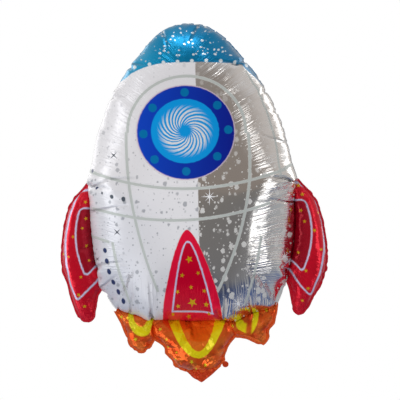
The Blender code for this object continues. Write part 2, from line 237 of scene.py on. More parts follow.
def inflate(places, triangles):
    """Blender's cloth under pressure, on a model four times life size, where its settings behave best. Returns the places, mm."""
    grow = 4.0 / 1000
    mesh = bpy.data.meshes.new("inflating")
    mesh.from_pydata((places * grow).tolist(), [], triangles.tolist())
    film = bpy.data.objects.new("inflating", mesh)
    bpy.context.scene.collection.objects.link(film)
    cloth = film.modifiers.new("cloth", "CLOTH")
    s = cloth.settings
    s.quality, s.mass, s.air_damping = 5, 0.02, 1.5
    s.tension_stiffness, s.compression_stiffness, s.shear_stiffness = 80.0, 0.4, 15.0
    s.bending_model, s.bending_stiffness = "ANGULAR", 0.012
    s.tension_damping = s.compression_damping = s.shear_damping = 5.0
    s.bending_damping = 0.5
    s.use_pressure, s.uniform_pressure_force = True, 16.0
    s.effector_weights.gravity = 0.0
    cloth.collision_settings.use_collision = cloth.collision_settings.use_self_collision = False
    frames = 44
    scene = bpy.context.scene
    kept = scene.frame_start, scene.frame_end, scene.frame_current
    scene.frame_start, scene.frame_end = 1, frames
    cloth.point_cache.frame_start, cloth.point_cache.frame_end = 1, frames
    for number in range(1, frames + 1):
        scene.frame_set(number)
    got = film.evaluated_get(bpy.context.evaluated_depsgraph_get()).data
    flat = np.empty(len(got.vertices) * 3, np.float32)
    got.vertices.foreach_get("co", flat)
    bpy.data.objects.remove(film, do_unlink=True)
    bpy.data.meshes.remove(mesh)
    scene.frame_start, scene.frame_end = kept[:2]
    scene.frame_set(kept[2])
    return flat.reshape(-1, 3).astype(float) / grow


def eased(co, known, shift, spread, slack):
    """Moves every point in the seam plane by a smooth field that carries the known places by their shifts."""
    kernel = np.exp(-((known[:, None] - known[None]) ** 2).sum(2) / spread**2)
    weight = np.linalg.solve(kernel + slack * np.eye(len(known)), shift)
    co = co.copy()
    for i in range(0, len(co), 3000):
        near = np.exp(-((co[i : i + 3000, None][:, :, [0, 2]] - known[None]) ** 2).sum(2) / spread**2)
        co[i : i + 3000, [0, 2]] += near @ weight
    return co


def fitted(co, points, chains, front):
    """The inflated film eased in its own plane so that its welds follow the outlines above, with the pleats kept."""
    right = [(x, z) for z, x in HULL]
    hull = even(softened(even(right + [(-x, z) for x, z in right[-2:0:-1]], 3, True), 6, True), 1.0, True)
    # Where the fins and flames root, the flat hull's edge and the inflated one are tied; between them both are shared out evenly.
    loop = chains["hull"]
    where = {p: i for i, p in enumerate(loop)}
    marks = {0: 0, len(loop): len(hull)}
    for name, outline, *_ in LOBES:
        for end, root in ((chains[name][0], outline[0]), (chains[name][-1], outline[-1])):
            marks[where[end]] = int(nearest(np.array([root]), hull)[1][0])
    places = np.interp(np.arange(len(loop)), sorted(marks), [marks[k] for k in sorted(marks)])
    whole = np.vstack([hull, hull[:1]])
    aims = {"hull": np.c_[np.interp(places, np.arange(len(whole)), whole[:, 0]), np.interp(places, np.arange(len(whole)), whole[:, 1])]}
    for name, _, wide, tall, root in LOBES:
        anchor = np.array(root)
        aims[name] = (points[chains[name]] - anchor * [FLAT_WIDE, FLAT_TALL]) / [wide, tall] + anchor
    for spread, slack in ((70.0, 1.0), (45.0, 0.6), (30.0, 0.5), (18.0, 0.6)):
        known, shift = [], []
        for name, chain in chains.items():
            line = co[front[chain]][:, [0, 2]]
            if name == "hull":
                part, aim = softened(line, 6, True)[::2], aims[name][::2]
            else:
                part, aim = softened(line, 2)[1:-1], aims[name][1:-1]
            known.append(part)
            shift.append(aim - part)
        co = eased(co, np.vstack(known), np.vstack(shift), spread, slack)
    # The weld's own small zigzag in the plane is mostly ironed out.
    known, shift = [], []
    for name, chain in chains.items():
        line = co[front[chain]][:, [0, 2]]
        known.append(line)
        shift.append((softened(line, 12, name == "hull") - line) * 0.65)
    co = eased(co, np.vstack(known), np.vstack(shift), 9.0, 0.3)
    co[:, 1] *= DEPTH / np.abs(co[:, 1]).max()
    return co


# ---------------------------------------------------------------- camera, as the front is seen
AZIMUTH = math.radians(4.0)
HEIGHT = 0.0
REACH = 1.5             # camera to the seam plane, m
LENS = 18.0 / (200 * PX / 1000 / REACH)
EYE = Vector((REACH * math.sin(AZIMUTH), -REACH * math.cos(AZIMUTH), HEIGHT))
FORWARD = Vector((-math.sin(AZIMUTH), math.cos(AZIMUTH), 0.0))
# The balloon's top leans to the left in the picture, so the camera rolls to the right.
SIDE = Matrix.Rotation(ROLL, 3, FORWARD) @ Vector((math.cos(AZIMUTH), math.sin(AZIMUTH), 0.0))
UP = SIDE.cross(FORWARD)
# The axis stands at AXIS_PX, MID_PX in the frame, so the camera is slid across by what is left to the middle.
EYE = EYE + SIDE * ((200 - AXIS_PX) * PX / 1000) - UP * ((200 - MID_PX) * PX / 1000)


def seen_at(co):
    """Art units of places in mm, through the camera."""
    rel = co / 1000 - np.array(EYE)
    depth = rel @ np.array(FORWARD)
    scale = 400 * LENS / 36
    return np.c_[200 + scale * (rel @ np.array(SIDE)) / depth, 200 - scale * (rel @ np.array(UP)) / depth]


def powers(uv, degree):
    u, v = uv[:, 0] / 250, uv[:, 1] / 350
    return np.stack([u**i * v**j for i in range(degree + 1) for j in range(degree + 1 - i)], 1)


def lay_print(points, faces, region, names, co, front):
    """Where the print falls on the flat film: a smooth map from the cut to the art, for the front as seen and the back the same way round."""
    fits = {}
    for k, name in enumerate(names):
        own = np.unique(faces[region == k])
        degree, spread = (8, 16.0) if name == "hull" else (3, 12.0)
        shown = seen_at(co[front[own]])
        weights = np.linalg.lstsq(powers(points[own], degree), shown, rcond=None)[0]
        # What the polynomial leaves is kept too where it is broader than a wrinkle.
        rest = shown - powers(points[own], degree) @ weights
        fits[name] = degree, spread, weights, points[own][::3], rest[::3]

    def look_up(name, at):
        degree, spread, weights, known, rest = fits[name]
        found = powers(at, degree) @ weights
        for i in range(0, len(at), 2000):
            share = np.exp(-((at[i : i + 2000, None] - known[None]) ** 2).sum(2) / spread**2)
            found[i : i + 2000] += (share @ rest) / (share.sum(1)[:, None] + 1e-6)
        return found

    other = {"left_fin": "right_fin", "right_fin": "left_fin", "left_flame": "right_flame", "right_flame": "left_flame"}
    sides = {}
    for k, name in enumerate(names):
        own = np.unique(faces[region == k])
        sides[name] = own, look_up(name, points[own]), look_up(other.get(name, name), points[own] * [-1, 1])
    return sides


# ---------------------------------------------------------------- node trees written as arithmetic
class Value:
    def __init__(self, ink, socket):
        self.ink, self.socket = ink, socket

    def _op(self, kind, *others):
        return self.ink.math(kind, self, *others)

    def __add__(self, o):
        return self._op("ADD", o)

    __radd__ = __add__

    def __sub__(self, o):
        return self._op("SUBTRACT", o)

    def __rsub__(self, o):
        return self.ink.math("SUBTRACT", o, self)

    def __mul__(self, o):
        return self._op("MULTIPLY", o)

    __rmul__ = __mul__

    def __truediv__(self, o):
        return self._op("DIVIDE", o)

    def __rtruediv__(self, o):
        return self.ink.math("DIVIDE", o, self)

    def __pow__(self, o):
        return self._op("POWER", o)

    def __abs__(self):
        return self._op("ABSOLUTE")

    def __neg__(self):
        return self * -1.0


class Ink:
    """A material with a Principled shader, and layers of print painted over one another."""

    def __init__(self, name, colour, metallic, roughness):
        self.mat = bpy.data.materials.new(name)
        self.mat.use_nodes = True
        self.tree = self.mat.node_tree
        self.shader = self.tree.nodes["Principled BSDF"]
        self.art = self.attribute("art")
        self.x, self.y, _ = self.split(self.art)
        self.weld = self.attribute("weld")
        self.near, self.along, self.kind = self.split(self.weld)
        self.flat = self.attribute("cut")
        self.colour, self.metallic, self.roughness = colour, metallic, roughness
        self.height = None

    def new(self, kind, **settings):
        node = self.tree.nodes.new(kind)
        for key, value in settings.items():
            setattr(node, key, value)
        return node

    def put(self, socket, value):
        if isinstance(value, Value):
            self.tree.links.new(value.socket, socket)
        elif hasattr(socket.default_value, "__len__"):
            wide = len(socket.default_value)
            value = tuple(value) if hasattr(value, "__len__") else (value,) * 3
            socket.default_value = (*value, 1.0)[:wide] if wide == 4 else value[:wide]
        else:
            socket.default_value = value

    def math(self, kind, *args, clamp=False):
        node = self.new("ShaderNodeMath", operation=kind, use_clamp=clamp)
        for socket, arg in zip(node.inputs, args):
            self.put(socket, arg)
        return Value(self, node.outputs[0])

    def vector(self, kind, *args, out=0):
        node = self.new("ShaderNodeVectorMath", operation=kind)
        for socket, arg in zip(node.inputs, args):
            if arg is not None:
                self.put(socket, arg)
        return Value(self, node.outputs[out])

    def attribute(self, name):
        return Value(self, self.new("ShaderNodeAttribute", attribute_name=name).outputs["Vector"])

    def split(self, vector):
        node = self.new("ShaderNodeSeparateXYZ")
        self.put(node.inputs[0], vector)
        return tuple(Value(self, o) for o in node.outputs)

    def join(self, x, y, z=0.0):
        node = self.new("ShaderNodeCombineXYZ")
        for socket, arg in zip(node.inputs, (x, y, z)):
            self.put(socket, arg)
        return Value(self, node.outputs[0])

    def ramp(self, value, start, end, low=0.0, high=1.0, smooth=False):
        node = self.new("ShaderNodeMapRange", interpolation_type="SMOOTHSTEP" if smooth else "LINEAR", clamp=True)
        for socket, arg in zip(node.inputs, (value, start, end, low, high)):
            self.put(socket, arg)
        return Value(self, node.outputs[0])

    def below(self, value, limit, soft=0.45):
        return self.ramp(value, limit + soft, limit - soft)

    def above(self, value, limit, soft=0.45):
        return self.ramp(value, limit - soft, limit + soft)

    def between(self, value, low, high, soft=0.45):
        return self.above(value, low, soft) * self.below(value, high, soft)

    def least(self, a, b):
        return self.math("MINIMUM", a, b)

    def most(self, a, b):
        return self.math("MAXIMUM", a, b)

    def any(self, *masks):
        total = masks[0]
        for mask in masks[1:]:
            total = self.most(total, mask)
        return total

    def curve(self, value, coefficients):
        total = coefficients[-1]
        for c in coefficients[-2::-1]:
            total = self.math("MULTIPLY_ADD", value, total, c)
        return total

    def length(self, x, y):
        return (x * x + y * y) ** 0.5

    def noise(self, vector, scale, detail=2.0, roughness=0.5, distortion=0.0):
        node = self.new("ShaderNodeTexNoise")
        self.put(node.inputs["Vector"], vector)
        for key, value in (("Scale", scale), ("Detail", detail), ("Roughness", roughness), ("Distortion", distortion)):
            self.put(node.inputs[key], value)
        return Value(self, node.outputs[0])

    def cells(self, vector, scale):
        node = self.new("ShaderNodeTexVoronoi")
        self.put(node.inputs["Vector"], vector)
        self.put(node.inputs["Scale"], scale)
        return Value(self, node.outputs["Distance"]), self.split(Value(self, node.outputs["Color"]))

    def planes(self, vector, scale, slope):
        """Height of a surface broken into flat facets, each tilted its own way."""
        node = self.new("ShaderNodeTexVoronoi")
        self.put(node.inputs["Vector"], vector)
        self.put(node.inputs["Scale"], scale)
        across, up, _ = self.split(vector - Value(self, node.outputs["Position"]) * (1.0 / scale))
        r, g, _ = self.split(Value(self, node.outputs["Color"]))
        return (across * (r - 0.5) + up * (g - 0.5)) * (2.0 * slope)

    def mix(self, share, a, b):
        node = self.new("ShaderNodeMix", data_type="RGBA")
        self.put(node.inputs[0], share)
        self.put(node.inputs[6], a)
        self.put(node.inputs[7], b)
        return Value(self, node.outputs[2])

    def blend(self, share, a, b):
        if isinstance(a, Value) or isinstance(b, Value):
            return a + share * (b - a)
        if a == b:
            return a
        return self.math("MULTIPLY_ADD", share, b - a, a)

    def over(self, mask, colour, metallic=None, roughness=None):
        self.colour = self.mix(mask, self.colour, colour)
        if metallic is not None:
            self.metallic = self.blend(mask, self.metallic, metallic)
        if roughness is not None:
            self.roughness = self.blend(mask, self.roughness, roughness)

    def dot(self, cx, cy, r, wide=1.0, turn=0.0, soft=0.4):
        x, y = self.x - cx, self.y - cy
        if turn:
            c, s = math.cos(turn), math.sin(turn)
            x, y = x * c + y * s, y * c - x * s
        if wide != 1.0:
            x = x * (1.0 / wide)
        return self.below(self.length(x, y), r, soft)

    def star(self, cx, cy, r, turn=0.0, points=5, waist=0.42, soft=0.3):
        """A pointed star; waist is the notch radius over the tip radius."""
        x, y = self.x - cx, self.y - cy
        part = 2 * math.pi / points
        angle = self.math("ARCTAN2", x, y) + (turn + 20 * math.pi)
        fold = abs(self.math("MODULO", angle, part) - part / 2)
        a = 1 / waist
        b = (1 - math.cos(part / 2) / waist) / math.sin(part / 2)
        edge = self.math("COSINE", fold) * a + self.math("SINE", fold) * b
        return self.below(self.length(x, y) * edge, r, soft)

    def groove(self, ax, ay, bx, by, wide=2.0):
        """1 along a line from a, thinning out towards b."""
        lx, ly = bx - ax, by - ay
        x, y = self.x - ax, self.y - ay
        share = self.math("MULTIPLY", x * lx + y * ly, 1.0 / (lx * lx + ly * ly), clamp=True)
        return self.ramp(self.length(x - share * lx, y - share * ly), 0.0, wide, 1.0, 0.0) * (1.0 - share * 0.8)

    def finish(self, bump=None, strength=1.0, distance=0.001):
        inputs = self.shader.inputs
        self.put(inputs["Base Color"], self.colour)
        self.put(inputs["Metallic"], self.metallic)
        self.put(inputs["Roughness"], self.roughness)
        if bump is not None:
            node = self.new("ShaderNodeBump")
            node.inputs["Strength"].default_value = strength
            node.inputs["Distance"].default_value = distance
            self.put(node.inputs["Height"], bump)
            self.tree.links.new(node.outputs[0], inputs["Normal"])
        return self.mat

    def foil_bump(self, pleat=1.0, crinkle=1.0, reach=70.0, facets=0.0, calm=1.0):
        """Fine pleats that run away from the weld and fade at an uneven distance from it, over faint crinkles. Millimetres."""
        across, up, _ = self.split(self.flat)
        sway = self.noise(self.flat, 0.016, 1.0) * 9.0
        along = self.along + sway * self.ramp(self.near, 0.0, 30.0)
        fine = self.noise(self.join(along * 0.24, self.near * 0.002, 0.0), 1.0, 1.0, 0.45)
        ridges = (abs(fine - 0.5) * 2.0) ** 0.7
        broad = self.noise(self.join(along * 0.06, self.near * 0.007, 3.0), 1.0, 1.0, 0.5)
        lengths = self.noise(self.join(along * 0.16, self.near * 0.001, 7.0), 1.0, 2.0, 0.6) * (0.6 * reach)
        fade = self.ramp(self.near + lengths, reach * 1.12, reach * 1.42, 1.0, 0.0, smooth=True) * self.ramp(self.near, 0.0, reach * 0.6, 0.45, 1.0)
        patch = self.ramp(self.noise(self.flat, 0.012, 1.0), 0.36, 0.6, 0.45, 1.0) * calm
        dents = self.noise(self.flat, 0.045, 3.0, 0.55, 0.4)
        total = (ridges * fade) * patch * (0.95 * pleat) + (broad * fade) * calm * (0.8 * pleat) + dents * (0.7 * crinkle)
        pucker = self.noise(self.join(self.along * 0.3, self.near * 0.05, 5.0), 1.0, 1.0, 0.5) * self.ramp(self.near, 2.0, 8.0, 1.0, 0.0)
        total = total + pucker * 1.6
        if facets:
            bent = self.noise(self.flat, 0.05, 1.0) * 10.0
            fold, _ = self.cells(self.join(across + bent, up - bent), 0.034)
            small, _ = self.cells(self.join(across - bent, up + bent, 4.0), 0.13)
            total = total + fold * (3.5 * facets) + small * (0.4 * facets)
            total = total + self.planes(self.join(across + bent * 0.5, up + bent * 0.4), 0.045, 0.62 * facets)
        return total


def rgb(r, g, b):
    """A linear colour from 0-255 screen values."""
    return tuple((c / 255 / 12.92) if c / 255 <= 0.04045 else ((c / 255 + 0.055) / 1.055) ** 2.4 for c in (r, g, b))


# ---------------------------------------------------------------- prints
def hull_print():
    ink = Ink("hull_print", rgb(234, 235, 240), 0.22, 0.27)
    ink.shader.inputs["Specular IOR Level"].default_value = 0.15
    x, y = ink.x, ink.y
    # White ink on the left half, bare mirror film on the right, parted down the front.
    split = ink.curve(y, (193.9, 0.0223))
    right = ink.above(x - split, 0.0, 0.5)
    ink.over(right, rgb(232, 230, 228), 1.0, 0.13)
    # Printed specks: grey on the white, white on the mirror.
    wobble = ink.noise(ink.art, 0.35, 1.0) * 3.0
    d, (r, g, _) = ink.cells(ink.join(x + wobble, y * 0.78), 0.15)
    specks = ink.below(d - r * 0.26, 0.05, 0.06) * ink.above(g, 0.25, 0.01)
    tiny, (tr, tg, _) = ink.cells(ink.join(x * 1.1, y, 5.0), 0.3)
    specks = ink.most(specks, ink.below(tiny - tr * 0.3, 0.02, 0.08) * ink.above(tg, 0.5, 0.01))
    low = ink.ramp(y, 90.0, 190.0, 0.3, 1.0)
    # Painted shade: towards the lower left the white ink is laid over with bluish grey, standing in for the dimmer,
    # bluish light there.
    shade = ink.ramp(y, 170.0, 290.0) * ink.ramp(x, 175.0, 110.0)
    ink.over(shade * (1.0 - right) * 0.7, rgb(192, 198, 211))
    ink.over(specks * (1.0 - right) * low * 0.75, rgb(150, 155, 163))
    blobs = ink.below(d - r * 0.3, 0.12, 0.07) * ink.above(g, 0.16, 0.01) * ink.ramp(y, 120.0, 200.0, 0.35, 1.0)
    ink.over(ink.most(blobs, specks * low) * right, rgb(220, 221, 220), 0.3, 0.4)
    # Panel lines.
    line = rgb(192, 199, 197)
    w = 1.5
    lines = []
    # The window's frame: an arch over the porthole that runs down beside the fin.
    lines.append(ink.below(abs(ink.length((x - 186.6) * (1 / 59.2), (y - 132.5) * (1 / 56.6)) - 1.0) * 57.5, w) * ink.below(y, 133.0))
    lines.append(ink.below(abs(x - ink.curve(y, (120.2 + 31.5, -0.372, 0.00135))), w) * ink.between(y, 132.0, 292.0))
    lines.append(ink.below(abs(x - ink.curve(y, (198.7, 0.632, -0.00195))), w) * ink.between(y, 132.0, 292.0))
    # Two bands round the hull.
    band_a = ink.curve(x, (124.2, 0.704, -0.00192))
    lines.append(ink.below(abs(y - band_a), w))
    band_b = ink.curve(x, (163.8, 0.652, -0.00188))
    lines.append(ink.below(abs(y - band_b), w) * ink.between(x, 92.0, 270.0))
    # Outer line on the right, its twin at the left edge, and the corner panel on the left.
    lines.append(ink.below(abs(x - ink.curve(y, (188.4, 1.02, -0.00285))), 1.0) * ink.between(y, 70.0, 176.0))
    lines.append(ink.below(abs(x - ink.curve(y, (203.0, 0.63, -0.00162))), 1.2) * ink.between(y, 236.0, 306.0))
    lines.append(ink.below(abs(y - ink.curve(x, (201.0, 0.38))), w) * ink.between(x, 85.0, 109.5))
    lines.append(ink.below(abs(x - ink.curve(y, (170.7, -0.66, 0.00173))), w) * ink.between(y, 242.0, 303.0))
    ink.over(ink.any(*lines), line, 0.2, 0.4)
    # Dark rivets down the left panel, and loose dots.
    navy = rgb(42, 56, 98)
    spots = [ink.dot(cx, cy, 2.9, 0.62, -0.35) for cx, cy in ((105.0, 250.7), (107.3, 261.6), (109.6, 271.8), (113.1, 282.4), (117.6, 292.4), (122.9, 301.0))]
    spots += [ink.dot(92.3, 172.0, 1.6, 0.6), ink.dot(96.5, 188.7, 1.7, 0.6)]
    ink.over(ink.any(*spots), navy, 0.2, 0.3)
    ink.over(ink.any(ink.dot(123.6, 199.0, 2.5, 0.8), ink.dot(112.0, 196.7, 2.2, 0.8), ink.dot(102.7, 193.2, 1.3, 0.7)), rgb(84, 92, 102), 0.2, 0.3)
    # Sparkles.
    glints = [ink.star(209.5, 196.7, 8.8, 0.0, 4, 0.1), ink.star(209.5, 196.7, 6.4, 0.785, 4, 0.1), ink.star(237.8, 304.0, 8.2, 0.1, 8, 0.12), ink.star(284.8, 256.5, 6.0, 0.0, 8, 0.16)]
    ink.over(ink.any(*glints), rgb(240, 243, 248), 0.1, 0.4)
    ink.over(ink.any(ink.star(117.0, 232.2, 5.2, 0.785, 4, 0.16), ink.star(113.5, 155.4, 5.2, 0.785, 4, 0.16), ink.star(97.5, 259.0, 3.2, 0.785, 4, 0.18)), rgb(70, 76, 86), 0.2, 0.3)
    # Blue nose with foil glitter, and its row of dots.
    edge = ink.curve(x, (111.6, -0.513, 0.001325)) + ink.math("POWER", ink.most(165.0 - x, 0.0) * (1 / 42.0), 2.0) * 11.0 + ink.math("POWER", ink.most(x - 236.0, 0.0) * (1 / 32.0), 1.7) * 25.0
    nose = ink.below(y - edge, 0.0)
    # Painted highlight: the blue lightens towards the left, standing in for a reflection there; the noise in it is
    # random tone.
    shade = ink.noise(ink.art, 0.03, 2.0) * 0.5 + ink.ramp(x, 185.0, 135.0, 0.0, 0.6)
    ink.over(nose, ink.mix(shade, rgb(0, 104, 156), rgb(20, 172, 220)), 0.55, 0.22)
    big, (br, bg, bb) = ink.cells(ink.join(x + wobble, y * 1.15, 2.0), 0.235)
    glitter = ink.below(big - br * 0.2, 0.13, 0.07) * ink.above(bg, 0.14, 0.01) * nose * ink.below(y - edge, -5.5, 0.8)
    ink.over(glitter, ink.mix(ink.above(bb, 0.86, 0.01), rgb(226, 236, 242), rgb(232, 150, 60)), 0.8, 0.25)
    dots = [ink.dot(cx, cy, 1.8) for cx, cy in ((135.0, 67.4), (149.4, 64.4), (163.4, 62.6), (177.5, 61.4), (191.9, 60.6), (206.4, 60.4), (220.8, 61.0), (234.4, 62.6), (246.5, 65.4), (256.5, 71.0))]
    ink.over(ink.any(*dots), rgb(225, 236, 242), 0.4, 0.3)
    # Porthole.
    px, py = x - 185.7, (y - 132.4) * (49.1 / 47.2)
    d = ink.length(px, py)
    ink.over(ink.below(d, 49.6), rgb(214, 196, 214), 0.3, 0.3)
    ring = ink.mix(ink.ramp(x, 138.0, 234.0), rgb(0, 62, 184), rgb(2, 24, 138))
    ink.over(ink.below(d, 48.6), ring, 0.0, 0.5)
    rivets = [ink.dot(cx, cy, 4.2) for cx, cy in ((184.6, 92.2), (217.3, 105.2), (228.3, 129.6), (217.3, 156.3), (186.3, 171.4), (154.6, 159.5), (143.4, 134.0), (152.6, 107.9))]
    ink.over(ink.any(*rivets), rgb(0, 120, 182), 0.3, 0.3)
    gx, gy = x - 185.0, (y - 131.0) * (34.0 / 32.3)
    d = ink.length(gx, gy)
    ink.over(ink.below(d, 34.0), rgb(0, 148, 222), 0.05, 0.45)
    # Light streaks that wind round the middle of the glass.
    turn = ink.math("ARCTAN2", gy, gx) - ink.math("POWER", d * (1 / 26.0), 0.8) * 2.0
    ring_x, ring_y = ink.math("COSINE", turn), ink.math("SINE", turn)
    wave = ink.math("SINE", turn * 21.0 + ink.noise(ink.join(ring_x, ring_y), 2.0) * 8.0) * 0.5 + 0.5
    threads = ink.noise(ink.join(ring_x, ring_y, d * 0.004), 9.0, 4.0, 0.65)
    glow = ink.ramp(wave * 0.5 + threads * 0.9, 0.6, 0.84)
    rim = ink.ramp(d + wave * 3.0 + threads * 7.0, 27.0, 34.0, 1.0, 0.0) * ink.ramp(d + threads * 5.0, 8.0, 12.5)
    ink.over(glow * rim, rgb(232, 236, 240), 0.3, 0.3)
    # Red fin in the middle, with its lilac line and stars.
    t = y - 229.6
    half = ink.math("POWER", ink.most(t, 0.0) * (1 / 94.0), 0.62) * 33.5 - ink.math("POWER", ink.most(t - 60.0, 0.0) * (1 / 34.0), 2.0) * 2.4
    middle = ink.curve(y, (170.5, 0.0715))
    fin = ink.below(abs(x - middle) - half, 0.0) * ink.above(t, 0.2)
    ink.over(fin, rgb(236, 20, 62), 0.3, 0.2)
    ti = y - 240.9
    inside = ink.math("POWER", ink.most(ti, 0.0) * (1 / 72.0), 0.6) * 20.5
    away = ink.most(abs(x - middle) - inside, y - 312.0)
    ink.over(ink.below(away, 0.8) * ink.above(ti, 0.0), rgb(206, 206, 240), 0.3, 0.3)
    ink.over(ink.below(away, -0.9) * ink.above(ti, 2.0), rgb(206, 2, 44), 0.3, 0.2)
    stars = [ink.star(cx, cy, r, a) for cx, cy, r, a in ((189.2, 259.4, 4.0, 0.2), (182.1, 275.5, 2.6, 0.8), (198.1, 273.1, 2.4, 0.1), (191.1, 287.6, 2.4, 0.5), (177.5, 292.1, 2.4, 0.0), (204.3, 290.9, 2.4, 0.9), (192.4, 303.0, 5.0, 0.1), (178.2, 306.8, 2.6, 0.4), (206.3, 304.4, 3.0, 0.7), (188.7, 317.0, 2.8, 0.3), (172.9, 314.8, 2.4, 0.6), (209.4, 312.8, 2.4, 0.2))]
    ink.over(ink.any(*stars), rgb(226, 178, 20), 0.5, 0.25)
    # Creases, with painted shade in them: up from the notches between the flames, in from the fins' roots, and at the
    # nose.
    folds = ((130.0, 314.0, 131.5, 294.0), (152.5, 322.0, 149.5, 284.0), (225.5, 319.0, 224.0, 286.0), (251.0, 316.0, 249.0, 296.0),
             (91.0, 186.5, 112.0, 178.5), (112.0, 178.5, 134.0, 178.0), (91.0, 211.0, 127.0, 205.0), (93.0, 266.0, 122.0, 262.0), (101.0, 287.0, 116.0, 276.0),
             (296.0, 180.5, 262.0, 175.5), (294.0, 203.5, 270.0, 199.0), (286.0, 142.0, 262.0, 135.0), (99.0, 97.0, 124.0, 96.0),
             (129.0, 62.5, 147.0, 65.5), (241.0, 65.0, 216.0, 60.0), (198.5, 24.0, 190.5, 40.0), (163.0, 30.0, 166.5, 47.0))
    crease_and_shade = ink.any(*[ink.groove(*f) for f in folds])
    # Painted shade: the creases are darkened with grey-blue over the print.
    ink.over(crease_and_shade * 0.4, rgb(70, 76, 88))
    # The pleats from either side don't meet at the nose's middle.
    calm = ink.most(ink.ramp(abs(x - 190.0), 2.0, 20.0), ink.ramp(y, 75.0, 100.0)) * ink.ramp(x - split, -6.0, 6.0, 0.9, 1.0) * ink.ramp(y, 58.0, 76.0, 0.5, 1.0)
    return ink.finish(ink.foil_bump(1.0, 0.3, 108.0, calm=calm) - crease_and_shade * 2.2, 1.0)


def fin_print(name, flip, stars):
    """Red foil with two nested lilac lines. flip is 1 on the left fin and -1 on the right."""
    ink = Ink(name, rgb(240, 10, 48), 0.46, 0.1)
    x, y = ink.x, ink.y
    deep = ink.noise(ink.art, 0.05, 2.0)
    ink.over(deep, rgb(204, 6, 38))

    def corner(a, b, r=4.0):
        """The larger of two distances, with the corner between them rounded off."""
        return ink.length(ink.most(a + r, 0.0), ink.most(b + r, 0.0)) + ink.least(ink.most(a, b) + r, 0.0) - r

    if flip > 0:
        outer, low_o, top_o = (x - ink.curve(y, (345.2, -2.248, 0.004515))) * -1.0, y - ink.curve(x, (386.0, -1.10)), 190.6 - y
        inner, low_i, top_i = (x - ink.curve(y, (425.2, -2.964, 0.00628))) * -1.0, y - ink.curve(x, (352.5, -0.885)), 208.2 - y
    else:
        outer, low_o, top_o = x - ink.curve(y, (32.6, 2.41, -0.00498)), y - ink.curve(x, (-97.0, 1.268)), ink.curve(x, (79.9, 0.35)) - y
        inner, low_i, top_i = x - ink.curve(y, (-30.0, 2.93, -0.00628)), y - ink.curve(x, (-26.0, 0.985)), 199.8 - y
    away = corner(corner(outer, low_o * 0.72), top_o)
    ink.over(ink.below(abs(away), 0.95), rgb(208, 204, 236), 0.3, 0.3)
    deep_in = corner(corner(inner, low_i * 0.72), top_i)
    ink.over(ink.below(deep_in, 0.0), rgb(176, 6, 38))
    ink.over(ink.below(abs(deep_in), 0.9), rgb(208, 204, 236), 0.3, 0.3)
    ink.over(ink.any(*[ink.star(cx, cy, r, cx) for cx, cy, r in stars]), rgb(232, 176, 20), 0.5, 0.25)
    return ink.finish(ink.foil_bump(0.7, 1.2, 26.0, 0.1), 1.0)


def flame_print():
    ink = Ink("flame_print", rgb(246, 86, 26), 0.68, 0.1)
    x, y = ink.x, ink.y
    tone = ink.ramp(ink.noise(ink.art, 0.09, 2.0), 0.35, 0.65)
    ink.over(tone, rgb(255, 128, 48))
    # Yellow bands, a U on the left flame, a V on the middle one and a bar on the right.
    yellow = rgb(238, 222, 10)
    u = ink.length((x - 141.0) * (1 / 10.6), (y - 312.0) * (1 / 19.5)) - 1.0
    bands = [ink.below(abs(u) * 11.5, 2.8) * ink.above(y, 306.0)]
    off = x - 198.5
    slope = off * (68.0 / 600.0)
    vee = 355.0 - off * off * (ink.above(off, 0.0, 4.0) * 0.018 + 34.0 / 600.0)
    gap = (y - vee) / (slope * slope + 1.0) ** 0.5
    bands.append(ink.below(abs(gap) + (y - 355.0) * 0.05, 3.6) * ink.above(y, 316.0))
    ink.over(ink.below(gap, -3.0, 1.0) * ink.above(y, 318.0), rgb(246, 124, 28), 0.42, 0.14)
    u = ink.length((x - 246.5) * (1 / 9.6), (y - 310.0) * (1 / 20.0)) - 1.0
    bands.append(ink.below(abs(u) * 10.5, 3.0) * ink.above(y, 303.0) * ink.below(y, ink.curve(x, (152.5, 0.73))) * ink.above(abs(x - 249.0), 2.4, 1.0))
    ink.over(ink.any(*bands), yellow, 0.3, 0.16)
    spots = ((128.0, 318.0, 2.2), (121.5, 316.5, 1.8), (136.0, 339.5, 2.2), (160.7, 329.3, 1.9), (166.3, 338.6, 1.7), (191.7, 362.0, 2.4), (205.4, 365.0, 2.2), (196.0, 368.8, 1.6), (176.4, 352.3, 1.4), (167.5, 347.2, 1.4), (232.5, 325.6, 1.9), (266.8, 310.6, 2.2), (176.5, 359.4, 1.3))
    ink.over(ink.any(*[ink.star(cx, cy, r, cy) for cx, cy, r in spots]), rgb(232, 214, 30), 0.5, 0.2)
    return ink.finish(ink.foil_bump(0.6, 0.9, 22.0, 1.0), 1.0)


def film_edge(name, colour, roughness=0.22, metallic=0.9):
    """The heat-sealed strip: bright film with the seal's fine cross-ribs."""
    ink = Ink(name, rgb(*colour), metallic, roughness)
    tone = ink.noise(ink.flat, 0.12, 2.0)
    ink.over(tone, tuple(c * 0.72 for c in rgb(*colour)))
    ribs = ink.noise(ink.join(ink.along * 0.45, ink.near * 0.05, 0.0), 1.0, 2.0, 0.5)
    return ink.finish(ribs * 0.5 + ink.noise(ink.flat, 0.12, 2.0) * 0.8, 1.0)


# ---------------------------------------------------------------- pieces
def piece(name, places, faces, material, replaced, data, levels=0):
    """A mesh in metres from places in mm, with its point data, riding on the root."""
    mesh = bpy.data.meshes.new(name)
    mesh.from_pydata((places / 1000).tolist(), [], [list(map(int, f)) for f in faces])
    for key, values in data.items():
        attribute = mesh.attributes.new(key, "FLOAT_VECTOR", "POINT")
        wide = np.zeros((len(places), 3), np.float32)
        wide[:, : values.shape[1]] = values
        attribute.data.foreach_set("vector", wide.ravel())
    mesh.materials.append(material)
    mesh.shade_smooth()
    ob = bpy.data.objects.new(name, mesh)
    bpy.context.scene.collection.objects.link(ob)
    if levels:
        smooth = ob.modifiers.new("smooth", "SUBSURF")
        smooth.levels = smooth.render_levels = levels
    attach(ob, "root")
    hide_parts(*replaced)
    return ob


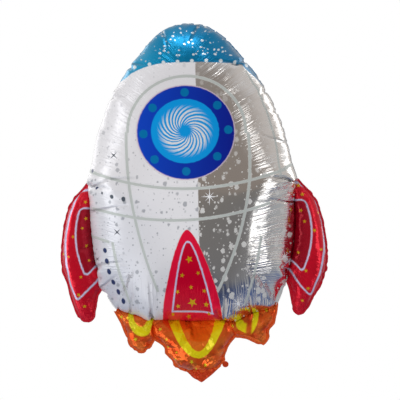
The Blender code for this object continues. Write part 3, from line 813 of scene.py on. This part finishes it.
def strip_mesh(loops, wide, swing, thick=0.35):
    """A weld strip along open chains: rows of points outward from the weld, front and back skin."""
    places, faces, weld = [], [], []
    rows = (-1.6, 0.4, wide * 0.55, wide)
    for at, out, arc in loops:
        base = len(places)
        n = len(at)
        for side in (-1, 1):
            for r, reach in enumerate(rows):
                wave = swing * np.sin(arc * 0.55 + 1.6 * np.sin(arc * 0.17)) * max(0.0, reach) / wide
                p = at + out * (reach + wave * 0.8)[:, None] if reach > 0 else at + out * reach
                p = p + np.array([0, 1.0, 0]) * ((side * thick / 2 + (wave * 1.6 if reach > 0 else 0))[:, None] if reach > 0 else side * thick / 2)
                places += list(p)
                weld += [(reach, s, 0.0) for s in arc]
        m = len(rows)
        for side in range(2):
            for r in range(m - 1):
                for i in range(n - 1):
                    a = base + (side * m + r) * n + i
                    quad = (a, a + 1, a + n + 1, a + n)
                    faces.append(quad if side == 0 else quad[::-1])
        for i in range(n - 1):
            for r, flip in ((0, True), (m - 1, False)):
                a, b = base + r * n + i, base + (m + r) * n + i
                quad = (a, a + 1, b + 1, b)
                faces.append(quad[::-1] if not flip else quad)
        for r in range(m - 1):
            for i, flip in ((0, False), (n - 1, True)):
                a, b = base + r * n + i, base + (m + r) * n + i
                quad = (a, a + n, b + n, b)
                faces.append(quad[::-1] if flip else quad)
    return np.array(places), faces, np.array(weld)


def main():
    points, faces, region, names, chains, welded, border = flat_pattern()
    places, triangles, front, back = doubled(points, faces, welded, border)
    co = inflate(places, triangles)
    co = fitted(co, points, chains, front)
    sides = lay_print(points, faces, region, names, co, front)
    weld = np.c_[np.stack(along_weld(points, border), 1), np.zeros(len(points))]

    left_stars = ((85.2, 202, 2.2), (85.7, 218.5, 2.2), (81.9, 228.4, 1.9), (73.1, 236.8, 2.0), (86.5, 246, 2.4), (63, 253.9, 1.9), (68.4, 256.7, 1.4), (88.8, 261.1, 1.8), (81.1, 277.1, 1.9), (79.1, 294.5, 2.3), (84.8, 306.2, 2.1))
    right_stars = ((298.5, 185.8, 1.9), (302.1, 194.4, 2.1), (301.3, 210.4, 2.2), (318.4, 212.6, 1.9), (304.8, 221.5, 2.0), (314.3, 230.3, 2.3), (298.5, 253, 2.2), (321, 249.4, 1.8), (305.9, 270.8, 2.1), (307.8, 287.9, 2.2), (302.1, 300.1, 2.0))
    look = {
        "hull": hull_print(),
        "left_fin": fin_print("left_fin_print", 1, left_stars),
        "right_fin": fin_print("right_fin_print", -1, right_stars),
        "flame": flame_print(),
    }
    other = {"left_fin": "right_fin", "right_fin": "left_fin"}
    films, strips = {}, {}
    for k, name in enumerate(names):
        own, front_art, back_art = sides[name]
        local = np.full(len(points), -1)
        local[own] = np.arange(len(own))
        tris = local[faces[region == k]]
        kind = name.split("_")[-1]
        for side, number, art in (("front", front, front_art), ("back", back, back_art)):
            worn = name if side == "front" else other.get(name, name)
            material = look["flame" if kind == "flame" else worn]
            replaced = [f"{name}_{side}_sheet"]
            if name == "hull":
                replaced += [f"nose_{side}_sheet", f"porthole_ring_{side}", f"porthole_glass_{side}", f"centre_fin_{side}"]
            cut = points[own] * ([1, 1] if side == "front" else [-1, 1])
            shape = tris if side == "front" else tris[:, ::-1]
            films[name, side] = piece(f"{name}_{side}_film", co[number[own]], shape, material, replaced, {"art": art, "cut": cut, "weld": weld[own]}, 1)

    # Weld strips along the free edges.
    loop = chains["hull"]
    n = len(loop)
    where = {p: i for i, p in enumerate(loop)}
    ends = {name: sorted((where[c[0]], where[c[-1]])) for name, c in chains.items() if name != "hull"}

    def run(chain, closed=False, turn=1.0):
        at = co[front[chain]]
        flat = softened(at[:, [0, 2]], 3)
        step = np.gradient(flat, axis=0)
        out = np.c_[-step[:, 1], np.zeros(len(step)), step[:, 0]] * turn
        out /= np.linalg.norm(out, axis=1)[:, None]
        out = np.c_[softened(out[:, [0, 2]], 2)[:, 0], out[:, 1], softened(out[:, [0, 2]], 2)[:, 1]]
        arc = np.r_[0, np.cumsum(np.linalg.norm(np.diff(at, axis=0), axis=1))]
        smooth = at.copy()
        return smooth, out, arc

    def facing(chain):
        """Which way a chain's left side points: outwards is away from the gas space."""
        at, out, _ = run(chain)
        return at, out

    right_top, right_low = ends["right_fin"]
    left_low, left_top = ends["left_fin"]
    bottom = sorted(i for name in ("left_flame", "centre_flame", "right_flame") for i in ends[name])
    first, last = bottom[0], bottom[-1]
    # The hull's loop starts at the nose and runs down the right side.
    upper_right = [loop[i] for i in range(0, right_top + 1)]
    upper_left = [loop[i % n] for i in range(left_top, n + 1)]
    lower_right = [loop[i] for i in range(right_low, first + 1)]
    lower_left = [loop[i] for i in range(last, left_low + 1)]
    nose_line = 184.0

    def outward(chain, centre):
        at, out, arc = run(chain)
        side = np.sign(((at - centre)[:, [0, 2]] * out[:, [0, 2]]).sum())
        return at, out * (side or 1.0), arc

    whole = upper_left + upper_right[1:]
    at, out, arc = outward(whole, np.array([0.0, 0.0, 0.0]))
    high = at[:, 2] > nose_line
    a, b = np.where(high)[0][[0, -1]]
    parts = {
        "nose_seam": [(at[a : b + 1], out[a : b + 1], arc[a : b + 1])],
        "hull_seam": [(at[: a + 1], out[: a + 1], arc[: a + 1]), (at[b:], out[b:], arc[b:])],
    }
    for chain in (lower_right, lower_left):
        if len(chain) > 2:
            parts["hull_seam"].append(outward(chain, np.array([0.0, 0.0, 0.0])))
    for name, chain in chains.items():
        if name != "hull":
            own = np.unique(triangles[: len(faces)][region == names.index(name)])
            parts[f"{name}_seam"] = [outward(chain, co[own].mean(0))]
    edges = {
        "nose": film_edge("nose_weld", (30, 160, 220), 0.34, 0.2),
        "hull": film_edge("hull_weld", (236, 238, 241), 0.34, 0.15),
        "fin": film_edge("fin_weld", (214, 14, 46), 0.26, 0.35),
        "flame": film_edge("flame_weld", (240, 98, 34), 0.24, 0.35),
    }
    for name, loops in parts.items():
        kind = name.split("_")[-2]
        places, quads, weld_at = strip_mesh(loops, *((1.5, 0.05) if kind in ("hull", "nose") else (FLANGE, 0.3)))
        strips[name] = piece(f"{name}_strip", places, quads, edges[kind], [name], {"art": places[:, [0, 2]], "cut": places[:, [0, 2]], "weld": weld_at}, 1)

    # Each chamber's area as cut flat, before welding and filling, in square metres, and the weld strips along it.
    for k, name in enumerate(names):
        corners = points[faces[region == k]]
        a, b = corners[:, 1] - corners[:, 0], corners[:, 2] - corners[:, 0]
        area = float(np.abs(a[:, 0] * b[:, 1] - a[:, 1] * b[:, 0]).sum() / 2e6)
        edge_strips = [strips[f"{name}_seam"]] + ([strips["nose_seam"]] if name == "hull" else [])

    # Filling neck and tie tab: flat film, creased.
    def flat_film(name, outline, node, amount):
        line = even(outline, 1.6, True)
        low, high = line.min(0), line.max(0)
        grid = np.array([(u, v) for u in np.arange(low[0], high[0], 1.6) for v in np.arange(low[1], high[1], 1.6)])
        grid = grid[within(grid, line)]
        grid = grid[nearest(grid, line)[0] > 1.0]
        cut, _, tris, _, _, _ = delaunay_2d_cdt([Vector(p) for p in np.vstack([line, grid])], [(i, (i + 1) % len(line)) for i in range(len(line))], [], 1, 1e-4)
        cut = np.array([tuple(p) for p in cut])
        u, v = cut[:, 0], cut[:, 1]
        lift = amount * (np.sin(u * 0.55 + 1.7 * np.sin(v * 0.31)) + 0.8 * np.sin(v * 0.62 + u * 0.4 + 1.1 * np.sin(u * 0.27)) + 0.5 * np.sin(u * 1.15 - v * 0.8))
        tris = np.array([tuple(t) for t in tris])
        a, b, c = (cut[tris[:, k]] for k in range(3))
        turned = (b[:, 0] - a[:, 0]) * (c[:, 1] - a[:, 1]) < (b[:, 1] - a[:, 1]) * (c[:, 0] - a[:, 0])
        tris[turned] = tris[turned][:, ::-1]
        a, b = cut[tris[:, 1]] - cut[tris[:, 0]], cut[tris[:, 2]] - cut[tris[:, 0]]
        film = piece(f"{node}_film", np.c_[u, lift, v], tris, look["flame_flat"], [node], {"art": np.zeros((len(cut), 2)), "cut": cut * 3.0, "weld": np.c_[np.full(len(cut), 3.0), cut[:, 0]]}, 1)

    look["flame_flat"] = film_edge("neck_film", (232, 74, 30), 0.2, 0.5)
    flat_film("neck", NECK, "filling_neck", 0.75)
    tab = [(TAB[0] + TAB[2] * math.cos(k * math.pi / 10), TAB[1] + TAB[2] * math.sin(k * math.pi / 10)) for k in range(20)]
    flat_film("tab", tab, "tie_tab", 0.35)


main()

# ---------------------------------------------------------------- floor, light and camera
scene = bpy.context.scene
scene.view_settings.view_transform = "Standard"

floor_mesh = bpy.data.meshes.new("floor")
count = 64
floor_mesh.from_pydata([(0.7 * math.cos(k * 2 * math.pi / count), 0.7 * math.sin(k * 2 * math.pi / count), -1.5) for k in range(count)], [], [list(range(count))])
floor = bpy.data.objects.new("floor", floor_mesh)
scene.collection.objects.link(floor)
pale = bpy.data.materials.new("pale_floor")
pale.use_nodes = True
pale.node_tree.nodes["Principled BSDF"].inputs["Base Color"].default_value = (0.6, 0.6, 0.62, 1)
pale.node_tree.nodes["Principled BSDF"].inputs["Roughness"].default_value = 0.8
floor_mesh.materials.append(pale)

world = bpy.data.worlds.new("studio")
scene.world = world
world.use_nodes = True
nodes, links = world.node_tree.nodes, world.node_tree.links
shade = nodes["Background"]
coordinates = nodes.new("ShaderNodeTexCoord")
axes = nodes.new("ShaderNodeSeparateXYZ")
links.new(coordinates.outputs["Generated"], axes.inputs[0])


def world_ramp(socket, stops):
    node = nodes.new("ShaderNodeMapRange")
    node.inputs[1].default_value, node.inputs[2].default_value = -1.0, 1.0
    links.new(socket, node.inputs[0])
    ramp = nodes.new("ShaderNodeValToRGB")
    links.new(node.outputs[0], ramp.inputs[0])
    while len(ramp.color_ramp.elements) < len(stops):
        ramp.color_ramp.elements.new(0.5)
    for element, (at, colour) in zip(ramp.color_ramp.elements, stops):
        element.position, element.color = (at + 1) / 2, (*colour, 1.0)
    return ramp.outputs[0]


tall = world_ramp(axes.outputs[2], [(-1.0, (0.04, 0.055, 0.11)), (-0.74, (0.045, 0.06, 0.12)), (-0.6, (0.17, 0.17, 0.18)), (-0.12, (0.20, 0.19, 0.18)), (-0.02, (0.27, 0.235, 0.21)), (0.55, (0.28, 0.245, 0.22)), (0.85, (0.30, 0.275, 0.26)), (1.0, (0.4, 0.39, 0.385))])
deep = world_ramp(axes.outputs[1], [(-1.0, (1.0, 1.0, 1.0)), (-0.7, (1.0, 1.0, 1.0)), (-0.35, (1.45, 1.5, 1.55)), (0.1, (2.1, 2.25, 2.4)), (1.0, (2.2, 2.4, 2.55))])
product = nodes.new("ShaderNodeMix")
product.data_type, product.blend_type = "RGBA", "MULTIPLY"
product.inputs[0].default_value = 1.0
links.new(tall, product.inputs[6])
links.new(deep, product.inputs[7])
eye = nodes.new("ShaderNodeLightPath")
white = nodes.new("ShaderNodeMix")
white.data_type = "RGBA"
links.new(eye.outputs["Is Camera Ray"], white.inputs[0])
links.new(product.outputs[2], white.inputs[6])
white.inputs[7].default_value = (1.0, 1.0, 1.0, 1.0)
links.new(white.outputs[2], shade.inputs[0])


def softbox(name, azimuth, elevation, distance, wide, tall_, power, mirrored=True):
    """An area light that looks at the hull. Azimuth 0 is in front, 90 at +X. One that isn't mirrored only lights the matt ink."""
    light = bpy.data.lights.new(name, "AREA")
    light.shape, light.size, light.size_y, light.energy = "RECTANGLE", wide, tall_, power
    ob = bpy.data.objects.new(name, light)
    scene.collection.objects.link(ob)
    a, e = math.radians(azimuth), math.radians(elevation)
    ob.location = Vector((math.sin(a) * math.cos(e), -math.cos(a) * math.cos(e), math.sin(e))) * distance
    ob.rotation_mode = "QUATERNION"
    ob.rotation_quaternion = (-ob.location).to_track_quat("-Z", "Y")
    ob.visible_glossy = mirrored
    return ob


softbox("left_box", -80, 4, 1.5, 0.5, 1.5, 5)
softbox("right_box", 63, -3, 1.5, 0.5, 1.25, 3.1)
softbox("top_box", -30, 80, 1.7, 0.6, 0.4, 3)
softbox("front_fill", -10, -4, 2.4, 2.0, 1.6, 32, mirrored=False)
softbox("low_fill", -60, -36, 2.2, 1.4, 1.2, 5)
softbox("back_left", -140, 15, 1.8, 0.7, 1.2, 3)
softbox("back_right", 140, 15, 1.8, 0.7, 1.2, 3)

camera = bpy.data.cameras.new("camera")
camera.lens, camera.sensor_width = LENS, 36.0
camera.clip_start, camera.clip_end = 0.05, 50
seat = bpy.data.objects.new("camera", camera)
scene.collection.objects.link(seat)
turn = Matrix((SIDE, UP, -FORWARD)).transposed()
seat.rotation_mode = "QUATERNION"
seat.rotation_quaternion = turn.to_quaternion()
seat.location = EYE
scene.camera = seat
